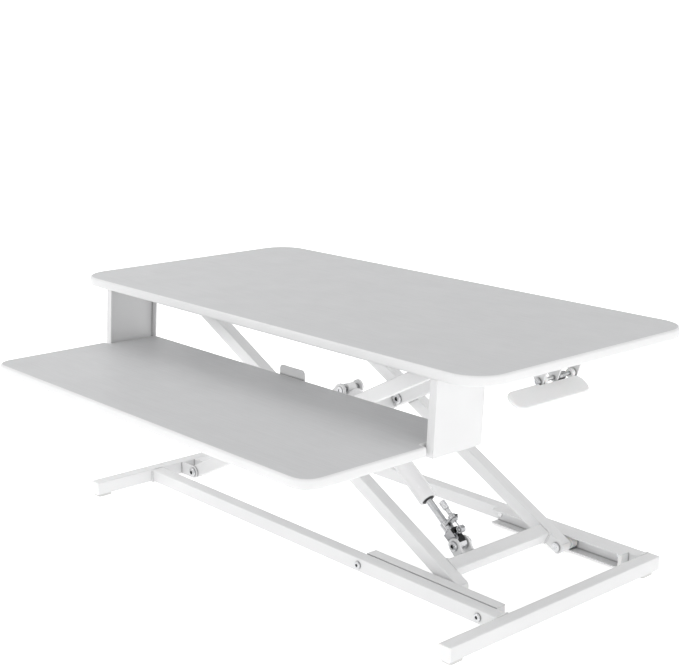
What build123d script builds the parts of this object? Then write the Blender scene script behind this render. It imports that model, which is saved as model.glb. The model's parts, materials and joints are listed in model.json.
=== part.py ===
"""A standing desk converter: a desktop with a keyboard tray below it, carried on crossed arms.

The arms are two pairs that cross at their middles, like scissors seen from the front. The
inner pair is pivoted on the base at the left, the outer pair under the desktop at the left,
and both pairs roll in channels at the right. A lockable gas spring between them carries the
load, and a paddle under the right end of the desktop frees it.

The frame: +X to the right, +Y to the back, +Z up, millimetres. The origin is on the ground
under the middle of the whole converter. The user stands in front of it, towards -Y.
"""
import os
from math import asin, atan2, cos, degrees, hypot, radians, sin

from build123d import *

# Boards
DESK_WIDTH = 800.0
DESK_DEPTH = 400.0
DESK_TOP = 337.0
DESK_REAR = 291.0
DESK_CORNER = 45.0
BOARD = 12.0
BOARD_EDGE = 1.5
TRAY_WIDTH = 658.0
TRAY_FRONT = -291.0
TRAY_REAR = -32.0
TRAY_TOP = 247.0
TRAY_CORNER = 25.0
TRAY_NOTCH = 12.0
TRAY_NOTCH_FRONT = -111.0

# Square tube and sheet
TUBE = 19.0
TUBE_WALL = 1.5
TUBE_CORNER = 1.5
SHEET = 1.5
PLATE = 2.5

# Scissor arms
ARM = 650.0
PIVOT_X = -326.0
LOW_Z = 13.0
RISE = 301.5
MID_Y = 131.75
ARM_GAP = 1.4
INNER_ARM_Y = 81.25
BOLT_R = 4.0
RUN = 0.1

# Feet and rails
FOOT_X = 356.0
FOOT_FRONT = -115.0
FOOT_REAR = 281.0
FOOT_Z = 3.5
PAD_LENGTH = 22.0
CAP_FLANGE = 2.0

# Roller channels
CHANNEL_LEFT = 113.0
CHANNEL_RIGHT = 340.0
CHANNEL_HEIGHT = 21.0
CHANNEL_DEPTH = 16.0
CHANNEL_GAP = 3.5
ROLLER_R = 8.7
ROLLER_WIDTH = 12.0

# Side plates between desktop and tray
SIDE_X = 333.0
SIDE_SHEET = 2.0
SIDE_FRONT = -102.0
SIDE_REAR = -22.0
SIDE_LEAN = 5.0
SIDE_FLANGE = 9.0

# Gas spring: its pins are set along the arms that carry them
SPRING_Y = 79.5
LOWER_PIN_ALONG = 597.0
LOWER_PIN_RISE = 6.0
UPPER_PIN_ALONG = 372.0
UPPER_PIN_RISE = 26.0
CYLINDER_R = 12.5
ROD_R = 5.0
ROD_SHOWN = 38.8

# Cross tubes, along the arms that carry them
LOWER_CROSS_ALONG = ARM - 27.6
UPPER_CROSS_ALONG = 305.0

# Release paddle
HINGE_X = 372.0
HINGE_Z = 307.0
PADDLE_FRONT = -38.0
PADDLE_REAR = 92.0
PADDLE_WIDTH = 28.0
PADDLE_THICK = 5.0
PADDLE_TILT = 32.0
HINGE_PIN_R = 2.5

# What follows from them
DESK_UNDER = DESK_TOP - BOARD
TRAY_UNDER = TRAY_TOP - BOARD
OUTER_ARM_Y = INNER_ARM_Y + TUBE + ARM_GAP
HIGH_Z = LOW_Z + RISE
LIFT = degrees(asin(RISE / ARM))
ROLLER_X = PIVOT_X + ARM * cos(radians(LIFT))
BORE_R = BOLT_R + RUN
TUBE_BORE = TUBE - 2 * TUBE_WALL
LOWER_CHANNEL_Y = OUTER_ARM_Y + TUBE / 2 + CHANNEL_GAP
UPPER_CHANNEL_Y = INNER_ARM_Y + TUBE / 2 + CHANNEL_GAP
RAIL_Y = LOWER_CHANNEL_Y + CHANNEL_DEPTH + TUBE / 2
RAIL_Z = FOOT_Z + TUBE / 2
SIDES = {"front": -1, "rear": 1}

# The inner arms' frame: origin at their lower left pivots, +X up along the arm
INNER = Pos(PIVOT_X, 0, LOW_Z) * Rot(0, -LIFT, 0)
# The outer arms' frame: origin at their upper left pivots, +X down along the arm
OUTER = Pos(PIVOT_X, 0, HIGH_Z) * Rot(0, LIFT, 0)

UPPER_PIN = (INNER * Pos(UPPER_PIN_ALONG, 0, UPPER_PIN_RISE)).position
LOWER_PIN = (OUTER * Pos(LOWER_PIN_ALONG, 0, LOWER_PIN_RISE)).position
SPRING_LENGTH = hypot(LOWER_PIN.X - UPPER_PIN.X, LOWER_PIN.Z - UPPER_PIN.Z)
SPRING_SLOPE = degrees(atan2(UPPER_PIN.Z - LOWER_PIN.Z, LOWER_PIN.X - UPPER_PIN.X))
# The spring's frame: origin at its upper pin, +X down along the spring to its lower pin
SPRING = Pos(UPPER_PIN.X, SPRING_Y, UPPER_PIN.Z) * Rot(0, SPRING_SLOPE, 0)

HEAD_UP = Rot(180, 0, 0)
TO_FRONT = Rot(90, 0, 0)
TO_REAR = Rot(-90, 0, 0)


def block(x, y, z):
    """A box between a low and a high bound on each axis."""
    size = [high - low for low, high in (x, y, z)]
    middle = [(high + low) / 2 for low, high in (x, y, z)]
    return Pos(*middle) * Box(*size)


def span(first, second):
    """Two bounds in rising order."""
    return min(first, second), max(first, second)


def disc_y(x, z, y, radius):
    """A cylinder along Y between two bounds."""
    low, high = y
    return Pos(x, (low + high) / 2, z) * Rot(90, 0, 0) * Cylinder(radius, high - low)


def disc_x(x, y, z, radius):
    """A cylinder along X between two bounds."""
    low, high = x
    return Pos((low + high) / 2, y, z) * Rot(0, 90, 0) * Cylinder(radius, high - low)


def square_tube(length):
    """A hollow square tube along X, centred on the origin."""
    outside = Plane.YZ * RectangleRounded(TUBE, TUBE, TUBE_CORNER)
    inside = Plane.YZ * Rectangle(TUBE_BORE, TUBE_BORE)
    return extrude(outside - inside, length / 2, both=True)


def screw(radius, length, head_radius, head_height):
    """A button head screw: its head rises from the origin and its shank goes down."""
    head = Pos(0, 0, head_height / 2) * Cylinder(head_radius, head_height)
    head = fillet(head.edges().sort_by(Axis.Z)[-1], head_height * 0.6)
    shank = Pos(0, 0, -length / 2) * Cylinder(radius, length)
    key = extrude(RegularPolygon(head_radius * 0.45, 6), head_height)
    return head + shank - Pos(0, 0, head_height * 0.4) * key


def nut(radius, height, grip=1.8):
    """A hexagon nut that stands on the origin along Z."""
    blank = extrude(RegularPolygon(radius * grip, 6), height)
    rounded = Cylinder(radius * grip * 0.97, height * 3)
    return (blank & rounded) - Cylinder(radius, height * 3)


def washer(radius, outer_radius, height):
    """A flat washer that stands on the origin along Z."""
    return Pos(0, 0, height / 2) * (Cylinder(outer_radius, height) - Cylinder(radius, height))


def eye_plate(pin, eye_radius, foot, thickness, hole_radius):
    """An upright plate in XZ that narrows from a foot line to an eye about a pin."""
    eye = Pos(*pin) * Circle(eye_radius)
    outline = make_hull([*eye.edges(), *Line(*foot).edges()])
    outline -= Pos(*pin) * Circle(hole_radius)
    return extrude(Plane.XZ * outline, thickness / 2, both=True)


# Base

def foot_tube(side):
    tube = Rot(0, 0, 90) * square_tube(FOOT_REAR - FOOT_FRONT)
    return Pos(side * (FOOT_X + TUBE / 2), (FOOT_FRONT + FOOT_REAR) / 2, RAIL_Z) * tube


def rail(side):
    y = MID_Y + side * RAIL_Y
    tube = Pos(0, y, RAIL_Z) * square_tube(2 * FOOT_X)
    for x in RAIL_BOLTS_X:
        tube -= disc_y(x, LOW_Z, (y - TUBE, y + TUBE), RAIL_BOLT_R)
    return tube


def foot_end_caps():
    caps = []
    for side in SIDES.values():
        for end, outward in ((FOOT_FRONT, -1), (FOOT_REAR, 1)):
            flange = extrude(Plane.XZ * RectangleRounded(TUBE, TUBE, TUBE_CORNER), CAP_FLANGE / 2, both=True)
            plug = Pos(0, -outward * CAP_PLUG / 2, 0) * Box(TUBE_BORE, CAP_PLUG, TUBE_BORE)
            cap = Pos(0, outward * CAP_FLANGE / 2, 0) * flange + plug
            caps.append(Pos(side * (FOOT_X + TUBE / 2), end, RAIL_Z) * cap)
    return caps


def rubber_pads():
    pads = []
    for side in SIDES.values():
        for y in (FOOT_FRONT + PAD_LENGTH / 2 + 1, FOOT_REAR - PAD_LENGTH / 2 - 10):
            pad = extrude(RectangleRounded(TUBE - 3, PAD_LENGTH, 3), FOOT_Z)
            pads.append(Pos(side * (FOOT_X + TUBE / 2), y, 0) * pad)
    return pads


def channel(side, open_y, middle_z):
    """A C channel along X. It opens towards the arms, and its web is on the far side."""
    near = MID_Y + side * open_y
    far = MID_Y + side * (open_y + CHANNEL_DEPTH)
    z = (middle_z - CHANNEL_HEIGHT / 2, middle_z + CHANNEL_HEIGHT / 2)
    x = (CHANNEL_LEFT, CHANNEL_RIGHT)
    bar = block(x, span(near, far), z)
    inside = block(
        (x[0] - 1, x[1] + 1),
        span(near - side, far - side * SHEET),
        (z[0] + SHEET, z[1] - SHEET),
    )
    return bar - inside


def lower_channel(side):
    shape = channel(side, LOWER_CHANNEL_Y, LOW_Z)
    web = MID_Y + side * (LOWER_CHANNEL_Y + CHANNEL_DEPTH)
    for x in RAIL_BOLTS_X:
        shape -= disc_y(x, LOW_Z, (web - 3, web + 3), RAIL_BOLT_R)
    return shape


def channel_bolts():
    """Bolts through the rails, each riveted over to a thin disc inside its channel."""
    outer_face = RAIL_Y + TUBE / 2
    length = outer_face - (LOWER_CHANNEL_Y + CHANNEL_DEPTH - SHEET)
    disc = Pos(0, 0, -length - RIVET / 2) * Cylinder(RIVET_R, RIVET)
    bolt = screw(RAIL_BOLT_R, length, 5.2, 3.0) + disc
    bolts = []
    for side in SIDES.values():
        facing = TO_REAR if side > 0 else TO_FRONT
        for x in RAIL_BOLTS_X:
            bolts.append(Pos(x, MID_Y + side * outer_face, LOW_Z) * facing * bolt)
    return bolts


def channel_end_stops():
    """Round-topped stops that close the right ends of the lower channels."""
    stops = []
    width = CHANNEL_DEPTH - SHEET - 1
    for side in SIDES.values():
        y = MID_Y + side * (LOWER_CHANNEL_Y + CHANNEL_DEPTH - SHEET - width / 2)
        stop = Pos(CHANNEL_RIGHT - 3, y, LOW_Z) * Box(6, width, CHANNEL_HEIGHT - 2 * SHEET)
        stops.append(fillet(stop.edges().filter_by(Axis.Y), 2))
    return stops


def lower_clevis(side):
    """A U bracket on the left foot that holds one inner arm."""
    y = MID_Y + side * INNER_ARM_Y
    inner = TUBE / 2 + CLEVIS_PLAY
    outer = inner + PLATE
    web = block((-FOOT_X, -FOOT_X + PLATE), (y - outer, y + outer), (FOOT_Z, FOOT_Z + TUBE))
    shape = web
    for ear_side in SIDES.values():
        ear = eye_plate(
            (PIVOT_X, LOW_Z),
            TUBE / 2 - 0.5,
            ((-FOOT_X, FOOT_Z), (-FOOT_X, FOOT_Z + TUBE)),
            PLATE,
            BOLT_R,
        )
        shape += Pos(0, y + ear_side * (inner + PLATE / 2), 0) * ear
    return shape


def pivot_bolts(height, arm_y):
    """Bolts through a pair of clevises, with their heads to the front."""
    reach = TUBE / 2 + CLEVIS_PLAY + PLATE
    bolt = TO_FRONT * screw(BOLT_R, 2 * reach + NUT_HEIGHT + 1.5, 7.0, 3.8)
    return [Pos(PIVOT_X, MID_Y + side * arm_y - reach, height) * bolt for side in SIDES.values()]


def pivot_nuts(height, arm_y):
    reach = TUBE / 2 + CLEVIS_PLAY + PLATE
    piece = TO_REAR * nut(BOLT_R, NUT_HEIGHT)
    return [Pos(PIVOT_X, MID_Y + side * arm_y + reach, height) * piece for side in SIDES.values()]


# Arms

def arm():
    """A square tube with round ends, bored for its pivots. Its first pivot is at the origin."""
    overall = ARM + TUBE
    outline = Pos(ARM / 2, 0, 0) * extrude(Plane.XZ * SlotOverall(overall, TUBE), TUBE, both=True)
    shape = Pos(ARM / 2, 0, 0) * square_tube(overall) & outline
    for x in (0, ARM / 2, ARM):
        shape -= disc_y(x, 0, (-TUBE, TUBE), BORE_R)
    return shape


def end_plug(x, inward):
    """A plastic plug that fills one round end of an arm."""
    width = TUBE_BORE - 2 * RUN
    body = Pos(x + inward * PLUG_LENGTH / 2, 0, 0) * Box(PLUG_LENGTH, width, width)
    body += disc_y(x, 0, (-width / 2, width / 2), TUBE / 2)
    return (body & block((x - TUBE, x + TUBE), (-TUBE, TUBE), (-width / 2, width / 2))) - disc_y(
        x, 0, (-TUBE, TUBE), BORE_R
    )


def arm_end_plugs(frame, arm_y):
    plugs = []
    for side in SIDES.values():
        place = frame * Pos(0, MID_Y + side * arm_y, 0)
        plugs.append(place * end_plug(0, 1))
        plugs.append(place * end_plug(ARM, -1))
    return plugs


def centre_pivot_bolts():
    """Bolts where the arms cross, with their heads between the two inner arms."""
    length = 2 * TUBE + ARM_GAP + 0.3 + NUT_HEIGHT + 1.5
    bolts = []
    for side in SIDES.values():
        facing = TO_FRONT if side > 0 else TO_REAR
        place = INNER * Pos(ARM / 2, MID_Y + side * (INNER_ARM_Y - TUBE / 2), 0)
        bolts.append(place * facing * screw(BOLT_R, length, 7.5, 4.0))
    return bolts


def centre_pivot_nuts():
    nuts = []
    for side in SIDES.values():
        facing = TO_REAR if side > 0 else TO_FRONT
        place = INNER * Pos(ARM / 2, MID_Y + side * (OUTER_ARM_Y + TUBE / 2 + 0.3), 0)
        nuts.append(place * facing * nut(BOLT_R, NUT_HEIGHT))
    return nuts


def arm_washers():
    washers = []
    for side in SIDES.values():
        facing = TO_REAR if side > 0 else TO_FRONT
        place = INNER * Pos(ARM / 2, MID_Y + side * (INNER_ARM_Y + TUBE / 2 + 0.25), 0)
        washers.append(place * facing * washer(BOLT_R, 9.0, ARM_GAP - 0.5))
    return washers


def cross_tube(frame, along, half_span):
    """A square tube welded between two arms and turned with them."""
    tube = Rot(0, 0, 90) * square_tube(2 * half_span)
    return frame * Pos(along, MID_Y, 0) * tube


def spring_upper_ears():
    """Two plates on the inner arms' cross tube, one each side of the spring's eye."""
    top = TUBE / 2
    foot = ((UPPER_CROSS_ALONG - top + 1, top), (UPPER_CROSS_ALONG + top, top))
    plate = eye_plate((UPPER_PIN_ALONG, UPPER_PIN_RISE), EAR_R, foot, EAR_SHEET, BOLT_R)
    return [
        INNER * Pos(0, SPRING_Y + side * (UPPER_EAR_GAP / 2 + EAR_SHEET / 2), 0) * plate
        for side in SIDES.values()
    ]


def spring_stub_bolts():
    """Two shoulder bolts in the upper ears. Each ends just short of the spring's eye."""
    bolts = []
    reach = UPPER_EAR_GAP / 2 + EAR_SHEET
    length = reach - SPRING_EYE_WIDTH / 2 - 0.4
    for side in SIDES.values():
        facing = TO_REAR if side > 0 else TO_FRONT
        place = INNER * Pos(UPPER_PIN_ALONG, SPRING_Y + side * reach, UPPER_PIN_RISE)
        bolts.append(place * facing * screw(BOLT_R, length, 6.0, STUB_HEAD))
    return bolts


def spring_lower_ears():
    """Two plates on the outer arms' cross tube, one each side of the release head."""
    face = LOWER_CROSS_ALONG - TUBE / 2
    foot = ((face, -TUBE / 2 + 1), (face, TUBE / 2 - 1))
    plate = eye_plate((LOWER_PIN_ALONG, LOWER_PIN_RISE), EAR_R, foot, EAR_SHEET, BOLT_R)
    return [
        OUTER * Pos(0, SPRING_Y + side * (LOWER_EAR_GAP / 2 + EAR_SHEET / 2), 0) * plate
        for side in SIDES.values()
    ]


def spring_lower_bolt():
    reach = LOWER_EAR_GAP / 2 + EAR_SHEET
    bolt = TO_FRONT * screw(BOLT_R, 2 * reach + NUT_HEIGHT, 6.5, 3.5)
    place = OUTER * Pos(LOWER_PIN_ALONG, SPRING_Y, LOWER_PIN_RISE)
    return place * Pos(0, -reach, 0) * bolt


def spring_lower_nut():
    reach = LOWER_EAR_GAP / 2 + EAR_SHEET
    place = OUTER * Pos(LOWER_PIN_ALONG, SPRING_Y, LOWER_PIN_RISE)
    return place * Pos(0, reach, 0) * TO_REAR * nut(BOLT_R, NUT_HEIGHT)


# Rollers and their axles

def roller(frame, side, arm_y):
    """A plastic roller beside one arm, at the arm's far end, with a hub towards the arm."""
    face = arm_y + TUBE / 2
    inner = face + CHANNEL_GAP + CHANNEL_DEPTH / 2 - ROLLER_SHIFT - ROLLER_WIDTH / 2
    middle = MID_Y + side * (inner + ROLLER_WIDTH / 2)
    wheel = Rot(90, 0, 0) * Cylinder(ROLLER_R, ROLLER_WIDTH)
    wheel = Pos(ARM, middle, 0) * fillet(wheel.edges().filter_by(GeomType.CIRCLE), 0.8)
    hub = (MID_Y + side * (face + HUB_PLAY), MID_Y + side * (inner + 1))
    wheel += disc_y(ARM, 0, span(*hub), HUB_R)
    return frame * (wheel - disc_y(ARM, 0, (middle - TUBE, middle + TUBE), BORE_R))


def roller_axles(frame, arm_y):
    """Axles fixed in the arms' ends, each headed on its arm's inner face and clipped outside."""
    axles = []
    for side in SIDES.values():
        inner_face = arm_y - TUBE / 2
        roller_end = (
            arm_y + TUBE / 2 + CHANNEL_GAP + CHANNEL_DEPTH / 2 - ROLLER_SHIFT + ROLLER_WIDTH / 2
        )
        clip_start = roller_end + CLIP_PLAY
        y = [MID_Y + side * distance for distance in
             (inner_face - 2.5, inner_face, clip_start, clip_start + CLIP)]
        axle = disc_y(ARM, 0, span(y[0], y[3]), BOLT_R)
        axle += disc_y(ARM, 0, span(y[0], y[1]), 6.5)
        axle += disc_y(ARM, 0, span(y[2], y[3]), 5.5)
        axles.append(frame * axle)
    return axles


# Gas spring. Places along it are counted from its upper pin.

def gas_cylinder():
    """A closed cylinder with an eye at its upper end and a guide for the rod at its lower end."""
    end = SPRING_LENGTH - COLLAR_START - ROD_SHOWN
    shell = disc_x((SHOULDER, end), 0, 0, CYLINDER_R)
    shell = fillet(shell.edges().filter_by(GeomType.CIRCLE).sort_by(Axis.X)[0], SHOULDER_ROUND)
    shell = fillet(shell.edges().filter_by(GeomType.CIRCLE).sort_by(Axis.X)[-1], 1.5)
    shell -= disc_x((18, end - GUIDE), 0, 0, CYLINDER_BORE_R)
    shell -= disc_x((end - GUIDE - 1, end + 1), 0, 0, ROD_R + RUN)
    half = SPRING_EYE_WIDTH / 2
    shell += disc_y(0, 0, (-half, half), EYE_R)
    return SPRING * (shell - disc_y(0, 0, (-half - 1, half + 1), BOLT_R + 0.3))


def gas_rod():
    """The chromed rod, drilled at its lower end for the release pin."""
    shape = disc_x((ROD_INNER_END, SPRING_LENGTH - SLOT_START), 0, 0, ROD_R)
    drilled = disc_x((SPRING_LENGTH - COLLAR_START, SPRING_LENGTH), 0, 0, PIN_R + RUN)
    return SPRING * (shape - drilled)


def gas_piston():
    ring = disc_x((ROD_INNER_END + 2, ROD_INNER_END + 12), 0, 0, CYLINDER_BORE_R - 0.2)
    return SPRING * (ring - disc_x((0, SPRING_LENGTH), 0, 0, ROD_R))


def release_head():
    """The head screwed on the rod: a round collar, a slotted block with an eye, and a flange
    that holds the cable adjuster."""
    end = SPRING_LENGTH
    collar = disc_x((end - COLLAR_START, end - COLLAR_END), 0, 0, HEAD_HALF)
    body = block((end - COLLAR_END, end), (-HEAD_WIDE, HEAD_WIDE), (-HEAD_HALF, HEAD_HALF))
    body += disc_y(end, 0, (-HEAD_WIDE, HEAD_WIDE), HEAD_HALF)
    flange_x = (end - FLANGE_AT, end - FLANGE_AT + PLATE)
    flange = block(flange_x, (-HEAD_WIDE, HEAD_WIDE), (0, ADJUST_Z + 7))
    flange = fillet(flange.edges().filter_by(Axis.X).group_by(Axis.Z)[-1], 5)
    shape = collar + body + flange
    shape -= disc_x((end - COLLAR_START - 1, end - SLOT_START + 1), 0, 0, ROD_R)
    shape -= disc_x(flange_x, 0, ADJUST_Z, ADJUST_R)
    slot = block(
        (end - SLOT_START, end - SLOT_END), (-LEVER_SLOT, LEVER_SLOT), (-HEAD_HALF - 1, HEAD_HALF + 1)
    )
    shape -= slot
    shape -= disc_y(end, 0, (-TUBE, TUBE), BORE_R)
    return SPRING * (shape - disc_y(end - LEVER_X, LEVER_PIVOT_Z, (-TUBE, TUBE), LEVER_PIN_R))


def lever_pin():
    half = HEAD_WIDE + 0.8
    return SPRING * disc_y(SPRING_LENGTH - LEVER_X, LEVER_PIVOT_Z, (-half, half), LEVER_PIN_R)


def release_lever():
    """A flat lever through the head's slot. Its fork holds the wire's nipple."""
    x = SPRING_LENGTH - LEVER_X
    blade = block(
        (x - LEVER_HALF, x + LEVER_HALF),
        (-LEVER_SLOT + 0.3, LEVER_SLOT - 0.3),
        (LEVER_PIVOT_Z - 2.0, ADJUST_Z + 5),
    )
    blade += disc_y(x, ADJUST_Z, (-LEVER_FORK, LEVER_FORK), 5.0)
    blade -= disc_y(x, ADJUST_Z, (-TUBE, TUBE), NIPPLE_R + 0.9)
    blade -= block((x - 12, x), (-1.3, 1.3), (ADJUST_Z - WIRE_SLOT, ADJUST_Z + WIRE_SLOT))
    return SPRING * (blade - disc_y(x, LEVER_PIVOT_Z, (-TUBE, TUBE), LEVER_PIN_R + RUN))


def release_pin():
    """The pin that the lever pushes into the rod to open the spring's valve."""
    end = SPRING_LENGTH - LEVER_X - LEVER_HALF - 0.5
    return SPRING * disc_x((SPRING_LENGTH - COLLAR_START + 2.5, end), 0, 0, PIN_R)


def cable_adjuster():
    """A threaded sleeve with a barrel at its upper end, where the cable's casing seats."""
    end = SPRING_LENGTH - FLANGE_AT
    sleeve = disc_x((end - 24, end + 6.5), 0, ADJUST_Z, ADJUST_R)
    barrel = disc_x((end - 26, end - 14), 0, ADJUST_Z, 4.4)
    barrel = chamfer(barrel.edges().filter_by(GeomType.CIRCLE), 0.6)
    return SPRING * (sleeve + barrel - disc_x((end - 27, end + 7), 0, ADJUST_Z, WIRE_R + 0.5))


def adjuster_nuts():
    end = SPRING_LENGTH - FLANGE_AT
    piece = Rot(0, 90, 0) * nut(ADJUST_R, 3.4, grip=2.0)
    return [SPRING * Pos(x, 0, ADJUST_Z) * piece for x in (end - 3.4, end + PLATE)]


def cable_wire():
    """The inner wire, which ends in a nipple across the lever's fork."""
    x = SPRING_LENGTH - LEVER_X
    wire = disc_x((SPRING_LENGTH - FLANGE_AT - 20, x), 0, ADJUST_Z, WIRE_R)
    return SPRING * (wire + disc_y(x, ADJUST_Z, (-LEVER_FORK, LEVER_FORK), NIPPLE_R))


# Desktop, tray and what joins them

def board_screw_places():
    """Where each screw goes up into the desktop, and the height that its head rests on."""
    places = []
    for side in SIDES.values():
        tab_y = MID_Y + side * (UPPER_CHANNEL_Y + CHANNEL_DEPTH + TAB / 2)
        places += [(x, tab_y, DESK_UNDER - SHEET) for x in CHANNEL_TABS_X]
        clevis_y = MID_Y + side * OUTER_ARM_Y
        ear = TUBE / 2 + CLEVIS_PLAY + PLATE + CLEVIS_FOOT / 2
        places += [(PIVOT_X, clevis_y + turn * ear, DESK_UNDER - PLATE) for turn in SIDES.values()]
        side_y = (SIDE_FRONT + SIDE_REAR) / 2
        inward = SIDE_X - SIDE_SHEET - SIDE_FOOT / 2 - 3
        places += [(side * inward, side_y + dy, DESK_UNDER - SIDE_SHEET) for dy in SIDE_SCREWS_DY]
    places += [(BRACKET_X + 8, y, DESK_UNDER - PLATE) for y in BRACKET_SCREWS_Y]
    return places


def tray_screw_places():
    places = []
    for side in SIDES.values():
        y = (SIDE_FRONT + SIDE_REAR) / 2 - SIDE_LEAN
        inward = SIDE_X - SIDE_SHEET - SIDE_FOOT / 2 - 3
        places += [(side * inward, y + dy, TRAY_UNDER - SIDE_SHEET) for dy in SIDE_SCREWS_DY]
    places += [(x, TRAY_REAR - 12, TRAY_UNDER - SHEET) for x in (-14, 14)]
    return places


def drill(shape, places):
    """Pilot holes for the screws, and clearance through what they hold."""
    for x, y, z in places:
        shape -= Pos(x, y, z + SCREW_LENGTH / 2) * Cylinder(SCREW_R, SCREW_LENGTH + 0.2)
    return shape


def screws(places):
    piece = HEAD_UP * screw(SCREW_R, SCREW_LENGTH, 4.2, 2.2)
    return [Pos(*place) * piece for place in places]


def round_board(outline, top):
    """A board with softened edges, from its outline and the height of its top."""
    shape = Pos(0, 0, top - BOARD) * extrude(outline, BOARD)
    rims = shape.faces().filter_by(Axis.Z).edges()
    return fillet(rims, BOARD_EDGE)


def desktop_board():
    outline = Pos(0, DESK_REAR - DESK_DEPTH / 2) * RectangleRounded(DESK_WIDTH, DESK_DEPTH, DESK_CORNER)
    return drill(round_board(outline, DESK_TOP), board_screw_places())


def keyboard_tray():
    """The tray is narrower at its back, where the side plates stand flush with it."""
    front_depth = TRAY_NOTCH_FRONT - TRAY_FRONT
    rear_depth = TRAY_REAR - TRAY_NOTCH_FRONT
    wide = Pos(0, TRAY_FRONT + front_depth / 2) * Rectangle(TRAY_WIDTH, front_depth)
    narrow = Pos(0, TRAY_REAR - rear_depth / 2) * Rectangle(TRAY_WIDTH - 2 * TRAY_NOTCH, rear_depth)
    outline = wide + narrow
    outline = fillet(outline.vertices().group_by(Axis.Y)[0], TRAY_CORNER)
    return drill(round_board(outline, TRAY_TOP), tray_screw_places())


def upper_channel(side):
    """A roller channel under the desktop, with tabs outside its web for the screws."""
    shape = channel(side, UPPER_CHANNEL_Y, DESK_UNDER - CHANNEL_HEIGHT / 2)
    web = MID_Y + side * (UPPER_CHANNEL_Y + CHANNEL_DEPTH)
    for x in CHANNEL_TABS_X:
        shape += block((x - TAB, x + TAB), span(web, web + side * TAB), (DESK_UNDER - SHEET, DESK_UNDER))
    return drill(shape, board_screw_places())


def upper_clevis(side):
    """A bracket under the desktop: two ears with feet, joined by a web left of the arm's end."""
    y = MID_Y + side * OUTER_ARM_Y
    inner = TUBE / 2 + CLEVIS_PLAY
    left = PIVOT_X - CLEVIS_HALF
    right = PIVOT_X + CLEVIS_HALF
    shape = block((left, left + PLATE), (y - inner, y + inner), (HIGH_Z - TUBE / 2, DESK_UNDER))
    for turn in SIDES.values():
        ear = eye_plate(
            (PIVOT_X, HIGH_Z), TUBE / 2, ((left, DESK_UNDER), (right, DESK_UNDER)), PLATE, BOLT_R
        )
        shape += Pos(0, y + turn * (inner + PLATE / 2), 0) * ear
        foot_y = (y + turn * inner, y + turn * (inner + PLATE + CLEVIS_FOOT))
        shape += block((left, right), span(*foot_y), (DESK_UNDER - PLATE, DESK_UNDER))
        shape += block(
            (left, left + PLATE),
            span(y + turn * inner, y + turn * (inner + PLATE)),
            (HIGH_Z - TUBE / 2, DESK_UNDER),
        )
    return drill(shape, board_screw_places())


def side_plate(side):
    """A folded sheet between desktop and tray, with turned-in edges and two mounting feet.
    Its front and rear edges lean forward towards the bottom."""
    top = DESK_UNDER
    bottom = TRAY_UNDER - SIDE_SHEET
    corners = [
        (SIDE_FRONT, top),
        (SIDE_REAR, top),
        (SIDE_REAR - SIDE_LEAN, bottom),
        (SIDE_FRONT - SIDE_LEAN, bottom),
    ]
    outline = make_face(Polyline(*corners, close=True))
    inside = offset(outline, -SIDE_SHEET, kind=Kind.INTERSECTION)
    outer_x = side * SIDE_X
    depth = side * (SIDE_SHEET + SIDE_FLANGE)
    shape = Pos(outer_x, 0, 0) * extrude(Plane.YZ * outline, -depth)
    shape -= Pos(outer_x - side * SIDE_SHEET, 0, 0) * extrude(Plane.YZ * inside, -depth * 2)
    foot_x = span(outer_x - side * SIDE_SHEET, outer_x - side * (SIDE_SHEET + SIDE_FOOT))
    front = SIDE_FRONT + SIDE_SHEET
    shape += block(foot_x, (front, SIDE_REAR - SIDE_SHEET), (top - SIDE_SHEET, top))
    shape += block(
        foot_x,
        (front - SIDE_LEAN, SIDE_REAR - SIDE_SHEET - SIDE_LEAN),
        (bottom, bottom + SIDE_SHEET),
    )
    return drill(drill(shape, board_screw_places()), tray_screw_places())


def tray_rear_tab():
    """A bent tab behind the tray's rear edge that keeps things from sliding off the back."""
    tab_back = TRAY_REAR + 0.5 + SHEET
    upright = Plane.XZ * RectangleRounded(TAB_WIDTH, TAB_HEIGHT, 6)
    shape = Pos(0, tab_back, TRAY_UNDER - SHEET + TAB_HEIGHT / 2) * extrude(upright, SHEET)
    shape += block(
        (-TAB_WIDTH / 2, TAB_WIDTH / 2),
        (TRAY_REAR - 22, tab_back),
        (TRAY_UNDER - SHEET, TRAY_UNDER),
    )
    shape += block(
        (-TAB_WIDTH / 2, TAB_WIDTH / 2),
        (tab_back - SHEET, tab_back),
        (TRAY_UNDER - SHEET, TRAY_UNDER + 6),
    )
    return drill(shape, tray_screw_places())


# Release paddle

def handle_bracket():
    """A plate under the desktop with three ears. The outer two hold the hinge pin."""
    shape = block(
        (BRACKET_X, BRACKET_X + BRACKET_DEPTH),
        (EARS_Y[0] - PLATE, EARS_Y[2] + PLATE),
        (DESK_UNDER - PLATE, DESK_UNDER),
    )
    top = DESK_UNDER - PLATE / 2
    foot = ((BRACKET_X, top), (BRACKET_X + BRACKET_DEPTH, top))
    for y in EARS_Y:
        ear = eye_plate((HINGE_X, HINGE_Z), LUG_R, foot, PLATE, HINGE_PIN_R)
        shape += Pos(0, y, 0) * ear
    return drill(shape, board_screw_places())


def handle_pin():
    y = (EARS_Y[0] - PLATE / 2 - 2, EARS_Y[2] + PLATE / 2 + 2)
    pin = disc_y(HINGE_X, HINGE_Z, y, HINGE_PIN_R)
    return pin + disc_y(HINGE_X, HINGE_Z, (y[0] - 1.5, y[0]), HINGE_PIN_R + 1.5)


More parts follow.
